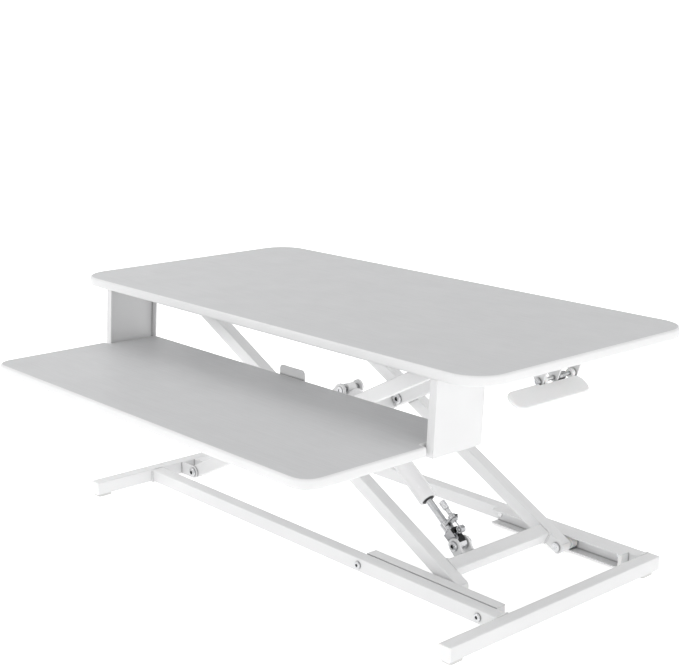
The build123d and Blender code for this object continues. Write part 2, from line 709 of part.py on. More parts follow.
def handle_paddle():
    """A rounded pad that hangs outward and down from two lugs on the hinge pin. Its inner edge
    is scooped out where the bracket's ears and the pin's coil turn."""
    length = PADDLE_REAR - PADDLE_FRONT
    middle_y = (PADDLE_REAR + PADDLE_FRONT) / 2
    outline = Pos(PADDLE_OFFSET + PADDLE_WIDTH / 2, middle_y) * RectangleRounded(PADDLE_WIDTH, length, 12)
    pad = extrude(outline, PADDLE_THICK / 2, both=True)
    pad = fillet(pad.faces().filter_by(Axis.Z).edges(), PADDLE_THICK * 0.4)
    shape = Pos(0, 0, PADDLE_DROP) * pad
    shape -= disc_y(0, 0, (EARS_Y[0] - 6, PADDLE_REAR + 1), LUG_R + 0.6)
    for low, high in LUGS_Y:
        lug = block((0, PADDLE_OFFSET + 9), (low, high), (PADDLE_DROP - 1.5, 0))
        lug += disc_y(0, 0, (low, high), LUG_R)
        shape += lug
    for low, high in LUGS_Y:
        shape -= disc_y(0, 0, (low - 1, high + 1), HINGE_PIN_R + RUN)
    return Pos(HINGE_X, 0, HINGE_Z) * Rot(0, PADDLE_TILT, 0) * shape


def handle_spring():
    """A torsion spring round the hinge pin that pushes the paddle back down."""
    turns = 7
    pitch = 2 * COIL_WIRE + 0.5
    helix = Helix(pitch, pitch * turns, COIL_R)
    wire = sweep((Plane(helix @ 0, z_dir=helix % 0) * Circle(COIL_WIRE)), path=helix)
    return Pos(HINGE_X, COIL_Y, HINGE_Z) * TO_REAR * wire


# Smaller sizes, used by the pieces above
RAIL_BOLTS_X = (116.0, 327.0)
RAIL_BOLT_R = 2.6
RIVET_R = 4.5
RIVET = 0.8
CAP_PLUG = 12.0
CLEVIS_PLAY = 0.6
CLEVIS_HALF = 16.0
CLEVIS_FOOT = 21.0
NUT_HEIGHT = 5.0
PLUG_LENGTH = 20.0
EAR_SHEET = 3.0
EAR_R = 10.0
UPPER_EAR_GAP = 30.0
LOWER_EAR_GAP = 16.0
STUB_HEAD = 1.2
SPRING_EYE_WIDTH = 14.0
EYE_R = 8.0
ROLLER_SHIFT = 1.3
HUB_R = 6.0
HUB_PLAY = 0.2
CLIP = 0.5
CLIP_PLAY = 0.2
SHOULDER = 8.0
SHOULDER_ROUND = 5.0
GUIDE = 8.0
CYLINDER_BORE_R = 11.0
ROD_INNER_END = 90.0
COLLAR_START = 35.0
COLLAR_END = 22.0
HEAD_HALF = 8.0
HEAD_WIDE = 7.0
SLOT_START = 18.5
SLOT_END = 8.5
LEVER_X = 12.0
LEVER_HALF = 1.5
LEVER_SLOT = 1.8
LEVER_PIVOT_Z = -6.0
LEVER_PIN_R = 1.2
LEVER_FORK = 3.5
WIRE_SLOT = 3.0
PIN_R = 1.5
NIPPLE_R = 2.2
WIRE_R = 0.8
ADJUST_Z = 18.0
FLANGE_AT = 31.0
ADJUST_R = 3.0
SCREW_R = 2.0
SCREW_LENGTH = 9.0
TAB = 12.0
CHANNEL_TABS_X = (135.0, 226.0, 318.0)
SIDE_FOOT = 30.0
SIDE_SCREWS_DY = (-24.0, 24.0)
TAB_WIDTH = 50.0
TAB_HEIGHT = 26.0
BRACKET_X = 354.0
BRACKET_DEPTH = 30.0
BRACKET_SCREWS_Y = (38.0, 70.0)
EARS_Y = (26.0, 52.0, 88.0)
LUGS_Y = ((29.5, 34.5), (79.0, 84.0))
LUG_R = 5.5
PADDLE_OFFSET = 3.0
PADDLE_DROP = -2.0
COIL_R = 4.2
COIL_WIRE = 0.7
COIL_Y = 56.0


def build():
    """Every node of the converter, by name."""
    nodes = {
        "left_foot_tube": foot_tube(-1),
        "right_foot_tube": foot_tube(1),
        "foot_end_caps": foot_end_caps(),
        "rubber_pads": rubber_pads(),
        "channel_bolts": channel_bolts(),
        "channel_end_stops": channel_end_stops(),
        "lower_clevises": [lower_clevis(side) for side in SIDES.values()],
        "lower_pivot_bolts": pivot_bolts(LOW_Z, INNER_ARM_Y),
        "lower_pivot_nuts": pivot_nuts(LOW_Z, INNER_ARM_Y),
        "arm_b_cross_tube": cross_tube(INNER, UPPER_CROSS_ALONG, INNER_ARM_Y - TUBE / 2),
        "arm_b_end_plugs": arm_end_plugs(INNER, INNER_ARM_Y),
        "centre_pivot_bolts": centre_pivot_bolts(),
        "centre_pivot_nuts": centre_pivot_nuts(),
        "arm_washers": arm_washers(),
        "upper_roller_axles": roller_axles(INNER, INNER_ARM_Y),
        "spring_upper_ears": spring_upper_ears(),
        "spring_stub_bolts": spring_stub_bolts(),
        "arm_a_cross_tube": cross_tube(OUTER, LOWER_CROSS_ALONG, OUTER_ARM_Y - TUBE / 2),
        "arm_a_end_plugs": arm_end_plugs(OUTER, OUTER_ARM_Y),
        "lower_roller_axles": roller_axles(OUTER, OUTER_ARM_Y),
        "spring_lower_ears": spring_lower_ears(),
        "spring_lower_bolt_and_nut": [spring_lower_bolt(), spring_lower_nut()],
        "gas_cylinder": gas_cylinder(),
        "gas_rod": gas_rod(),
        "gas_piston": gas_piston(),
        "release_head": release_head(),
        "lever_pin": lever_pin(),
        "release_lever": release_lever(),
        "release_pin": release_pin(),
        "cable_adjuster": cable_adjuster(),
        "adjuster_nuts": adjuster_nuts(),
        "cable_wire": cable_wire(),
        "desktop_board": desktop_board(),
        "keyboard_tray": keyboard_tray(),
        "tray_rear_tab": tray_rear_tab(),
        "left_side_plate": side_plate(-1),
        "right_side_plate": side_plate(1),
        "board_screws": screws(board_screw_places()),
        "tray_screws": screws(tray_screw_places()),
        "upper_clevises": [upper_clevis(side) for side in SIDES.values()],
        "upper_pivot_bolts": pivot_bolts(HIGH_Z, OUTER_ARM_Y),
        "upper_pivot_nuts": pivot_nuts(HIGH_Z, OUTER_ARM_Y),
        "handle_bracket": handle_bracket(),
        "handle_pin": handle_pin(),
        "handle_paddle": handle_paddle(),
        "handle_spring": handle_spring(),
    }
    for name, side in SIDES.items():
        nodes[name + "_rail"] = rail(side)
        nodes[name + "_lower_channel"] = lower_channel(side)
        nodes[name + "_upper_channel"] = upper_channel(side)
        nodes["arm_a_" + name] = OUTER * Pos(0, MID_Y + side * OUTER_ARM_Y, 0) * arm()
        nodes["arm_b_" + name] = INNER * Pos(0, MID_Y + side * INNER_ARM_Y, 0) * arm()
        nodes[name + "_lower_roller"] = roller(OUTER, side, OUTER_ARM_Y)
        nodes[name + "_upper_roller"] = roller(INNER, side, INNER_ARM_Y)
    return nodes


def main():
    os.makedirs("parts", exist_ok=True)
    for name, shape in build().items():
        solids = shape if isinstance(shape, list) else [shape]
        export_step(Compound(children=solids), os.path.join("parts", name + ".step"))


main()
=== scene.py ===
"""The look of the standing desk converter: a studio render of the white powder-coated lift with
its laminate boards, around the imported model. Metres, +X right, +Y back, +Z up."""
import json
from math import cos, pi, radians, sin

import bmesh
import bpy
from mathutils import Euler, Matrix, Vector


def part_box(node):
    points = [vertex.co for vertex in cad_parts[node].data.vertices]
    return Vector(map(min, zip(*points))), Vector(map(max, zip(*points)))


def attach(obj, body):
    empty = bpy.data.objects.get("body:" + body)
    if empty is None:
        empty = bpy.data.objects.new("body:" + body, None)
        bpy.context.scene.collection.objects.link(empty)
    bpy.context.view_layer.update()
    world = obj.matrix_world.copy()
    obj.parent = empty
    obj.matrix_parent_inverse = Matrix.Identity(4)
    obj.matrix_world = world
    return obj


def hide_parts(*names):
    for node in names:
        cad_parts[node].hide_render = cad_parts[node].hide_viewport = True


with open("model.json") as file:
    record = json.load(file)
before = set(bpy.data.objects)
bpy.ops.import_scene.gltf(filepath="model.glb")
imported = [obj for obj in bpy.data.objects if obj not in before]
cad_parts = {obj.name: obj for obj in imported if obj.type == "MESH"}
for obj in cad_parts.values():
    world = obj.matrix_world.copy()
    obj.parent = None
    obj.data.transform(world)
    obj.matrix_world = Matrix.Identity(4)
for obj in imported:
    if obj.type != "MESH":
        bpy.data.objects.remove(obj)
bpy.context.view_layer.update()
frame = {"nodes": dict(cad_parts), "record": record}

MM = 0.001

# Camera
CAMERA_PLACE = (1.3297, -1.1460, 0.7167)
CAMERA_AZIMUTH = radians(47.96)
CAMERA_ELEVATION = radians(13.33)
CAMERA_ROLL = radians(0.16)
CAMERA_LENS = 71.87
CAMERA_SENSOR = 36.0
CAMERA_NEAR = 0.05

# Studio
FLOOR_SIZE = 80.0
FLOOR_GLOW = 0.50
WORLD_STRENGTH = 1.10

# Dark sectors of the studio: their middles as shares of a full turn, their half width, how far
# their edges fade as a share of that, their shade, and their strength at heights from 0 to 1
DARK_SECTORS = (0.07, 0.23, 0.39, 0.55, 0.71, 0.87)
SECTOR_HALF = 0.030
SECTOR_FADE = 1.3
SECTOR_SHADE = 0.04
SECTOR_HEIGHTS = ((0.30, 0.0), (0.38, 1.0), (0.78, 1.0), (0.86, 0.0))

# Materials: where the values of a noise texture mostly lie, how open a surface is where painted
# crevice shade is darkest and where it ends, samples of two texture nodes, and a wave texture's
# turn per unit
NOISE_LOW = 0.3
NOISE_HIGH = 0.7
CREVICE_SHADE_FULL = 0.35
CREVICE_SHADE_NONE = 0.85
CREVICE_SHADE_SAMPLES = 8
BEVEL_SAMPLES = 4
WAVE_RADIANS = 20

# Board edges
EDGE_ROUND = 2.6 * MM
EDGE_STEPS = 6
SEAM_DEPTH = 0.15 * MM
SEAM_WIDTH = 0.35 * MM
SEAM_DEEPEST = 0.4
NOTCH = 12.0 * MM
NOTCH_LENGTH = 79.0 * MM
DESK_CORNER = 45.0 * MM
TRAY_CORNER = 25.0 * MM
SMALL_CORNER = 4.0 * MM
ARC_STEPS = 16
BOARD_SHARP = radians(35)
SAME_POINT = 1e-6
BOARD_SLOTS = ("laminate_board", "edge_band", "underside")
TOP_FACE, EDGE_FACE, BOTTOM_FACE = range(len(BOARD_SLOTS))

# Weld beads round the square tubes, and where those tubes end
TUBE = 19.0 * MM
BEAD_R = 1.5 * MM
BEAD_RIPPLE = 0.25 * MM
BEAD_RIPPLE_STEPS = 5
BEAD_SIDES = 8
BEAD_STEPS = 22
ARM_SLOPE = radians(27.634)
SPRING_SLOPE = radians(37.726)
LIFT_PIVOT = (-326.0 * MM, 13.0 * MM)
OUTER_PIVOT = (-326.0 * MM, 314.5 * MM)
UPPER_CROSS_ALONG = 305.0 * MM
LOWER_CROSS_ALONG = 622.4 * MM
MIDDLE_Y = 131.75 * MM
UPPER_CROSS_HALF = 71.75 * MM
LOWER_CROSS_HALF = 92.15 * MM
RAIL_Y = 140.15 * MM
RAIL_Z = 13.0 * MM
RAIL_END = 356.0 * MM

# Cable adjuster's thread, and a black ring of painted shadow in the lower end of the gas spring's
# cylinder
THREADS_PER_METRE = 1000.0
CYLINDER_END = (147.30 * MM, 79.5 * MM, 88.06 * MM)
SHADOW_RING_BORE_R = 5.2 * MM
SHADOW_RING_R = 8.8 * MM
SHADOW_RING_THICK = 0.8 * MM
SHADOW_RING_STEPS = 48
SHADOW_RING_SHARP = radians(30)


# ---- Materials ----

def shader(name):
    """A new node material, its tree and its Principled shader."""
    material = bpy.data.materials.new(name)
    material.use_nodes = True
    tree = material.node_tree
    return material, tree, tree.nodes["Principled BSDF"]


def noise(tree, scale, detail=3.0, stretch=(1, 1, 1)):
    """A noise texture in the piece's own coordinates. Its scale counts features per metre."""
    place = tree.nodes.new("ShaderNodeTexCoord")
    mapping = tree.nodes.new("ShaderNodeMapping")
    mapping.inputs["Scale"].default_value = stretch
    texture = tree.nodes.new("ShaderNodeTexNoise")
    texture.inputs["Scale"].default_value = scale
    texture.inputs["Detail"].default_value = detail
    tree.links.new(place.outputs["Object"], mapping.inputs["Vector"])
    tree.links.new(mapping.outputs["Vector"], texture.inputs["Vector"])
    return texture.outputs["Fac"]


def grey(shade):
    """A colour with equal parts."""
    return (shade, shade, shade)


def ramp(tree, value, low, high, start=NOISE_LOW, end=NOISE_HIGH):
    """Colours between low and high as the value goes from start to end."""
    node = tree.nodes.new("ShaderNodeValToRGB")
    first, last = node.color_ramp.elements
    first.position = start
    last.position = end
    first.color = (*low, 1)
    last.color = (*high, 1)
    tree.links.new(value, node.inputs["Fac"])
    return node.outputs["Color"]


def between(tree, value, low, high):
    """A noise value, remapped to low..high."""
    node = tree.nodes.new("ShaderNodeMapRange")
    node.inputs["From Min"].default_value = NOISE_LOW
    node.inputs["From Max"].default_value = NOISE_HIGH
    node.inputs["To Min"].default_value = low
    node.inputs["To Max"].default_value = high
    tree.links.new(value, node.inputs["Value"])
    return node.outputs["Result"]


def bump(tree, height, distance, strength=1.0, below=None):
    """A bump of that depth in metres, on top of another normal."""
    node = tree.nodes.new("ShaderNodeBump")
    node.inputs["Strength"].default_value = strength
    node.inputs["Distance"].default_value = distance
    tree.links.new(height, node.inputs["Height"])
    if below is not None:
        tree.links.new(below, node.inputs["Normal"])
    return node.outputs["Normal"]


def multiply(tree, colour, factor):
    """A colour, multiplied by another colour or by a value."""
    node = tree.nodes.new("ShaderNodeMix")
    node.data_type = "RGBA"
    node.blend_type = "MULTIPLY"
    node.inputs["Factor"].default_value = 1.0
    tree.links.new(colour, node.inputs["A"])
    tree.links.new(factor, node.inputs["B"])
    return node.outputs["Result"]


def soft_edges(tree, radius):
    """A normal that rounds sharp sheet edges a little."""
    node = tree.nodes.new("ShaderNodeBevel")
    node.samples = BEVEL_SAMPLES
    node.inputs["Radius"].default_value = radius
    return node.outputs["Normal"]


def painted_crevice_shade(tree, colour, dark=0.10, reach=0.006):
    """The colour, darkened by painted shade where surfaces close in on each other."""
    near = tree.nodes.new("ShaderNodeAmbientOcclusion")
    near.samples = CREVICE_SHADE_SAMPLES
    near.inputs["Distance"].default_value = reach
    depth = tree.nodes.new("ShaderNodeMapRange")
    depth.inputs["From Min"].default_value = CREVICE_SHADE_FULL
    depth.inputs["From Max"].default_value = CREVICE_SHADE_NONE
    depth.inputs["To Min"].default_value = dark
    tree.links.new(near.outputs["AO"], depth.inputs["Value"])
    return multiply(tree, colour, depth.outputs["Result"])


def powder_coat():
    """White satin powder coat with a fine orange peel and slightly uneven gloss."""
    material, tree, bsdf = shader("white_powder_coat")
    tint = ramp(tree, noise(tree, 9, 4), (0.738, 0.740, 0.744), (0.768, 0.769, 0.771))
    # Painted shade: the base colour is darkened in crevices and where parts meet
    tree.links.new(painted_crevice_shade(tree, tint, dark=0.40, reach=0.004), bsdf.inputs["Base Color"])
    tree.links.new(between(tree, noise(tree, 60, 5), 0.34, 0.44), bsdf.inputs["Roughness"])
    peel = bump(tree, noise(tree, 750, 2), 0.06 * MM, 0.5, soft_edges(tree, 0.7 * MM))
    fine_peel = bump(tree, noise(tree, 3200, 2), 0.02 * MM, 0.4, peel)
    tree.links.new(fine_peel, bsdf.inputs["Normal"])
    bsdf.inputs["Specular IOR Level"].default_value = 0.45
    bsdf.inputs["Coat Weight"].default_value = 0.12
    bsdf.inputs["Coat Roughness"].default_value = 0.25
    return material


def laminate():
    """Off-white laminate with a faint pressed grain along the board and tiny flecks."""
    material, tree, bsdf = shader("board_laminate")
    grain = noise(tree, 55, 6, stretch=(0.35, 9, 9))
    flecks = noise(tree, 1500, 2)
    tint = ramp(tree, grain, (0.525, 0.528, 0.535), (0.560, 0.563, 0.569))
    speck = ramp(tree, flecks, grey(0.955), grey(1.0), start=0.30, end=0.46)
    tree.links.new(multiply(tree, tint, speck), bsdf.inputs["Base Color"])
    tree.links.new(between(tree, noise(tree, 25, 4), 0.40, 0.50), bsdf.inputs["Roughness"])
    pressed = bump(tree, grain, 0.05 * MM, 0.35)
    pores = bump(tree, noise(tree, 1800, 3), 0.03 * MM, 0.4, pressed)
    tree.links.new(pores, bsdf.inputs["Normal"])
    bsdf.inputs["Specular IOR Level"].default_value = 0.4
    return material


def edge_band():
    """Smooth white edging, brighter than the laminate, with faint lines along it."""
    material, tree, bsdf = shader("board_edge_band")
    tint = ramp(tree, noise(tree, 14, 4), (0.735, 0.737, 0.74), (0.765, 0.766, 0.768))
    tree.links.new(tint, bsdf.inputs["Base Color"])
    tree.links.new(between(tree, noise(tree, 80, 4), 0.28, 0.38), bsdf.inputs["Roughness"])
    lines = noise(tree, 90, 4, stretch=(0.3, 0.3, 22))
    tree.links.new(bump(tree, lines, 0.04 * MM, 0.3), bsdf.inputs["Normal"])
    return material


def board_underside():
    """The plain balancing paper under a board."""
    material, tree, bsdf = shader("board_underside")
    tint = ramp(tree, noise(tree, 220, 5), (0.70, 0.70, 0.705), (0.76, 0.76, 0.762))
    tree.links.new(tint, bsdf.inputs["Base Color"])
    bsdf.inputs["Roughness"].default_value = 0.6
    tree.links.new(bump(tree, noise(tree, 900, 4), 0.06 * MM, 0.5), bsdf.inputs["Normal"])
    return material


def metal(name, tints, roughness, scratch, stretch=(1, 1, 1)):
    """Bare or plated metal with fine scratches and an uneven shine."""
    material, tree, bsdf = shader(name)
    tint = ramp(tree, noise(tree, 130, 4), *tints)
    # Painted shade: the base colour is darkened in crevices and where parts meet
    tree.links.new(painted_crevice_shade(tree, tint), bsdf.inputs["Base Color"])
    tree.links.new(between(tree, noise(tree, 420, 4), *roughness), bsdf.inputs["Roughness"])
    bsdf.inputs["Metallic"].default_value = 1.0
    marks = noise(tree, 900, 3, stretch)
    tree.links.new(bump(tree, marks, 0.03 * MM, scratch), bsdf.inputs["Normal"])
    return material


def threaded_chrome():
    """Chrome plate with fine thread lines across the spring's axis."""
    material, tree, bsdf = shader("threaded_chrome")
    place = tree.nodes.new("ShaderNodeTexCoord")
    mapping = tree.nodes.new("ShaderNodeMapping")
    mapping.inputs["Rotation"].default_value = (0, -SPRING_SLOPE, 0)
    wave = tree.nodes.new("ShaderNodeTexWave")
    wave.inputs["Scale"].default_value = THREADS_PER_METRE / WAVE_RADIANS * 2 * pi
    tree.links.new(place.outputs["Object"], mapping.inputs["Vector"])
    tree.links.new(mapping.outputs["Vector"], wave.inputs["Vector"])
    tint = ramp(tree, noise(tree, 130, 4), (0.60, 0.61, 0.63), (0.72, 0.72, 0.73))
    # Painted shade: the base colour is darkened in crevices and where parts meet
    tree.links.new(painted_crevice_shade(tree, tint), bsdf.inputs["Base Color"])
    bsdf.inputs["Metallic"].default_value = 1.0
    bsdf.inputs["Roughness"].default_value = 0.16
    tree.links.new(bump(tree, wave.outputs["Fac"], 0.3 * MM, 0.8), bsdf.inputs["Normal"])
    return material


def plastic(name, tints, roughness, texture, subsurface=0.0):
    """Smooth paint, plastic or rubber with a fine eroded texture."""
    material, tree, bsdf = shader(name)
    tree.links.new(ramp(tree, noise(tree, 16, 3), *tints), bsdf.inputs["Base Color"])
    tree.links.new(between(tree, noise(tree, 150, 4), *roughness), bsdf.inputs["Roughness"])
    bsdf.inputs["Subsurface Weight"].default_value = subsurface
    bsdf.inputs["Subsurface Scale"].default_value = 2 * MM
    tree.links.new(bump(tree, noise(tree, 2600, 3), 0.03 * MM, texture), bsdf.inputs["Normal"])
    return material


def zinc_plate():
    """Satin zinc of the fasteners, axles and pins."""
    tints = ((0.60, 0.61, 0.63), grey(0.72))
    return metal("zinc_plate", tints, roughness=(0.22, 0.36), scratch=0.4)


def chrome_plate():
    """Bright chrome of the gas spring's rod and release head."""
    tints = ((0.60, 0.61, 0.63), (0.70, 0.70, 0.71))
    return metal("chrome_plate", tints, roughness=(0.04, 0.10), scratch=0.12, stretch=(6, 1, 1))


def bright_steel():
    """Bare steel of the release lever, its pin, the piston and the wire."""
    tints = ((0.52, 0.53, 0.55), (0.64, 0.64, 0.65))
    return metal("bright_steel", tints, roughness=(0.20, 0.34), scratch=0.5, stretch=(1, 1, 8))


def cylinder_paint():
    """Glossy white paint on the gas spring's cylinder."""
    tints = ((0.82, 0.82, 0.825), (0.86, 0.86, 0.862))
    return plastic("cylinder_paint", tints, roughness=(0.20, 0.28), texture=0.15)


def white_plastic():
    """White moulded plastic of the caps, plugs, end stops and paddle."""
    tints = (grey(0.80), grey(0.84))
    return plastic("white_plastic", tints, roughness=(0.36, 0.46), texture=0.5, subsurface=0.05)


def roller_nylon():
    """Milky nylon of the rollers and the arms' washers."""
    tints = ((0.74, 0.74, 0.72), (0.80, 0.80, 0.79))
    return plastic("roller_nylon", tints, roughness=(0.30, 0.42), texture=0.3, subsurface=0.2)


def light_rubber():
    """Dull pale rubber of the foot pads."""
    tints = ((0.60, 0.60, 0.59), (0.68, 0.68, 0.67))
    return plastic("light_rubber", tints, roughness=(0.65, 0.80), texture=0.8)


def painted_shadow_black():
    """A black rubber-like finish for the ring of painted shadow at the cylinder's end."""
    return plastic("painted_shadow_black", (grey(0.02), grey(0.035)), roughness=(0.6, 0.75), texture=0.5)


def make_materials():
    """One finish for each of the record's slots, and four more for what the scene adds."""
    return {
        "painted_steel": powder_coat(),
        "laminate_board": laminate(),
        "zinc_fasteners": zinc_plate(),
        "chrome": chrome_plate(),
        "bright_steel": bright_steel(),
        "painted_cylinder": cylinder_paint(),
        "white_plastic": white_plastic(),
        "roller_nylon": roller_nylon(),
        "rubber_pads": light_rubber(),
        "threads": threaded_chrome(),
        # The black ring of painted shadow at the gas spring's cylinder end
        "shadow_ring": painted_shadow_black(),
        "edge_band": edge_band(),
        "underside": board_underside(),
    }


def paint_nodes(materials):
    """Gives CAD nodes the finish that their record slot names, and the cable adjuster threads."""
    for row in frame["record"]["subparts"]:
        piece = frame["nodes"][row["node"]]
        piece.data.materials.clear()
        piece.data.materials.append(materials[row["material_slot"]])
    adjuster = frame["nodes"]["cable_adjuster"].data
    adjuster.materials.clear()
    adjuster.materials.append(materials["threads"])


# ---- Meshes ----

def add_piece(name, mesh, body):
    """Links a mesh as a piece that rides on a body."""
    piece = bpy.data.objects.new(name, mesh)
    bpy.context.scene.collection.objects.link(piece)
    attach(piece, body)
    return piece


def bridge(bm, ring, following, closed=True):
    """Smooth faces between two rows of vertices, and from their last to their first if closed."""
    count = len(ring)
    steps = count if closed else count - 1
    faces = []
    for i in range(steps):
        j = (i + 1) % count
        face = bm.faces.new((ring[i], ring[j], following[j], following[i]))
        face.smooth = True
        faces.append(face)
    return faces


def ring_surface(bm, rings, closed=True):
    """Bridges rings of vertices into a surface that ends where it began, facing outwards."""
    for ring, following in zip(rings, rings[1:] + rings[:1]):
        bridge(bm, ring, following, closed)
    bmesh.ops.recalc_face_normals(bm, faces=bm.faces)


def arc(centre, radius, start, turn):
    """Points along an arc, with their outward normals."""
    side = 1 if turn > 0 else -1
    steps = [start + turn * i / ARC_STEPS for i in range(ARC_STEPS + 1)]
    return [
        (
            Vector((centre[0] + radius * cos(angle), centre[1] + radius * sin(angle))),
            side * Vector((cos(angle), sin(angle))),
        )
        for angle in steps
    ]


def desk_outline(low, high):
    """A rectangle with round corners, counter-clockwise."""
    r = DESK_CORNER
    corners = (
        (high.x - r, low.y + r, -pi / 2),
        (high.x - r, high.y - r, 0),
        (low.x + r, high.y - r, pi / 2),
        (low.x + r, low.y + r, pi),
    )
    return [point for x, y, start in corners for point in arc((x, y), r, start, pi / 2)]


def tray_outline(low, high):
    """A board with round front corners and a step in each side near its back."""
    r, s = TRAY_CORNER, SMALL_CORNER
    step_y = high.y - NOTCH_LENGTH
    right, left = high.x, low.x
    outline = arc((right - r, low.y + r), r, -pi / 2, pi / 2)
    outline += arc((right - s, step_y - s), s, 0, pi / 2)
    outline += arc((right - NOTCH + s, step_y + s), s, -pi / 2, -pi / 2)
    outline += arc((right - NOTCH - s, high.y - s), s, 0, pi / 2)
    outline += arc((left + NOTCH + s, high.y - s), s, pi / 2, pi / 2)
    outline += arc((left + NOTCH - s, step_y + s), s, 0, -pi / 2)
    outline += arc((left + s, step_y - s), s, pi / 2, pi / 2)
    outline += arc((left + r, low.y + r), r, pi, pi / 2)
    return outline


def board_profile(bottom, top):
    """Rings of a board's edge from its underside to its top face: inset and height."""
    r = EDGE_ROUND
    rings = []
    for i in range(EDGE_STEPS + 1):
        angle = pi / 2 * i / EDGE_STEPS
        rings.append((r - r * sin(angle), bottom + r - r * cos(angle)))
    for i in range(EDGE_STEPS + 1):
        angle = pi / 2 * i / EDGE_STEPS
        rings.append((r - r * cos(angle), top - r + r * sin(angle)))
    rings.append((r + SEAM_WIDTH * SEAM_DEEPEST, top - SEAM_DEPTH))
    rings.append((r + SEAM_WIDTH, top))
    return rings


def board(name, node, body, outline_of, materials):
    """A laminate board with a rounded edge band. It stands for a plain CAD board."""
    low, high = (Vector(corner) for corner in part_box(node))
    outline = outline_of(low, high)
    mesh = bpy.data.meshes.new(name)
    bm = bmesh.new()
    rings = []
    for inset, height in board_profile(low.z, high.z):
        rings.append([
            bm.verts.new((*(point - normal * inset), height)) for point, normal in outline
        ])
    for lower, upper in zip(rings, rings[1:]):
        for face in bridge(bm, lower, upper):
            face.material_index = EDGE_FACE
    bm.faces.new(list(reversed(rings[0]))).material_index = BOTTOM_FACE
    bm.faces.new(rings[-1]).material_index = TOP_FACE
    bmesh.ops.remove_doubles(bm, verts=bm.verts, dist=SAME_POINT)
    bm.to_mesh(mesh)
    bm.free()
    mesh.set_sharp_from_angle(angle=BOARD_SHARP)
    for slot in BOARD_SLOTS:
        mesh.materials.append(materials[slot])
    piece = add_piece(name, mesh, body)
    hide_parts(node)


def square_path():
    """Points round a square tube's outline, with their outward directions."""
    half = TUBE / 2
    corners = [(half, half), (-half, half), (-half, -half), (half, -half)]
    path = []
    for (x, y), (next_x, next_y) in zip(corners, corners[1:] + corners[:1]):
        outward = Vector((x + next_x, y + next_y)).normalized()
        for i in range(BEAD_STEPS):
            t = i / BEAD_STEPS
            point = Vector((x + (next_x - x) * t, y + (next_y - y) * t))
            direction = Vector((x, y)).normalized() if i == 0 else outward
            path.append((point, direction))
    return path


def weld_bead(name, body, place, material):
    """A rippled bead round the end of a square tube. The place's Z is the tube's direction."""
    mesh = bpy.data.meshes.new(name)
    bm = bmesh.new()
    rings = []
    for i, (point, outward) in enumerate(square_path()):
        radius = BEAD_R + BEAD_RIPPLE * sin(i * 2 * pi / BEAD_RIPPLE_STEPS)
        ring = []
        for k in range(BEAD_SIDES):
            turn = 2 * pi * k / BEAD_SIDES
            flat = point + outward * radius * cos(turn)
            ring.append(bm.verts.new(place @ Vector((flat.x, flat.y, radius * sin(turn)))))
        rings.append(ring)
    ring_surface(bm, rings)
    bm.to_mesh(mesh)
    bm.free()
    mesh.materials.append(material)
    add_piece(name, mesh, body)


def add_weld_beads(material):
    """Beads at both ends of the two cross tubes and of the two rails."""
    upper = (
        LIFT_PIVOT[0] + UPPER_CROSS_ALONG * cos(ARM_SLOPE),
        LIFT_PIVOT[1] + UPPER_CROSS_ALONG * sin(ARM_SLOPE),
    )
    lower = (
        OUTER_PIVOT[0] + LOWER_CROSS_ALONG * cos(ARM_SLOPE),
        OUTER_PIVOT[1] - LOWER_CROSS_ALONG * sin(ARM_SLOPE),
    )
    crosses = (
        ("upper_cross", "inner_arms", upper, -ARM_SLOPE, UPPER_CROSS_HALF),
        ("lower_cross", "outer_arms", lower, ARM_SLOPE, LOWER_CROSS_HALF),
    )
    for name, body, (x, z), slope, half in crosses:
        for side in (-1, 1):
            turn = Matrix.Rotation(slope, 4, "Y") @ Matrix.Rotation(pi / 2, 4, "X")
            place = Matrix.Translation((x, MIDDLE_Y + side * half, z)) @ turn
            weld_bead(f"{name}_bead_{side + 1}", body, place, material)
    for end in (-1, 1):
        for side in (-1, 1):
            centre = (end * RAIL_END, MIDDLE_Y + side * RAIL_Y, RAIL_Z)
            place = Matrix.Translation(centre) @ Matrix.Rotation(pi / 2, 4, "Y")
            weld_bead(f"rail_bead_{end + 1}{side + 1}", "base", place, material)


def add_painted_shadow_ring(material):
    """A black ring round the rod on the cylinder's lower end, standing for painted shadow in the
    cylinder's open rim.
    """
    turn = Matrix.Rotation(SPRING_SLOPE, 4, "Y") @ Matrix.Rotation(pi / 2, 4, "Y")
    place = Matrix.Translation(CYLINDER_END) @ turn
    profile = (
        (SHADOW_RING_BORE_R, 0),
        (SHADOW_RING_BORE_R, SHADOW_RING_THICK),
        (SHADOW_RING_R - SHADOW_RING_THICK, SHADOW_RING_THICK),
        (SHADOW_RING_R, 0),
    )
    mesh = bpy.data.meshes.new("rod_shadow_ring")
    bm = bmesh.new()
    rings = []
    for i in range(SHADOW_RING_STEPS):
        angle = 2 * pi * i / SHADOW_RING_STEPS
        rings.append([
            bm.verts.new(place @ Vector((r * cos(angle), r * sin(angle), height)))
            for r, height in profile
        ])
    ring_surface(bm, rings, closed=False)
    bm.to_mesh(mesh)
    bm.free()
    mesh.set_sharp_from_angle(angle=SHADOW_RING_SHARP)
    mesh.materials.append(material)
    add_piece("rod_shadow_ring", mesh, "spring_cylinder")


# ---- Stage ----

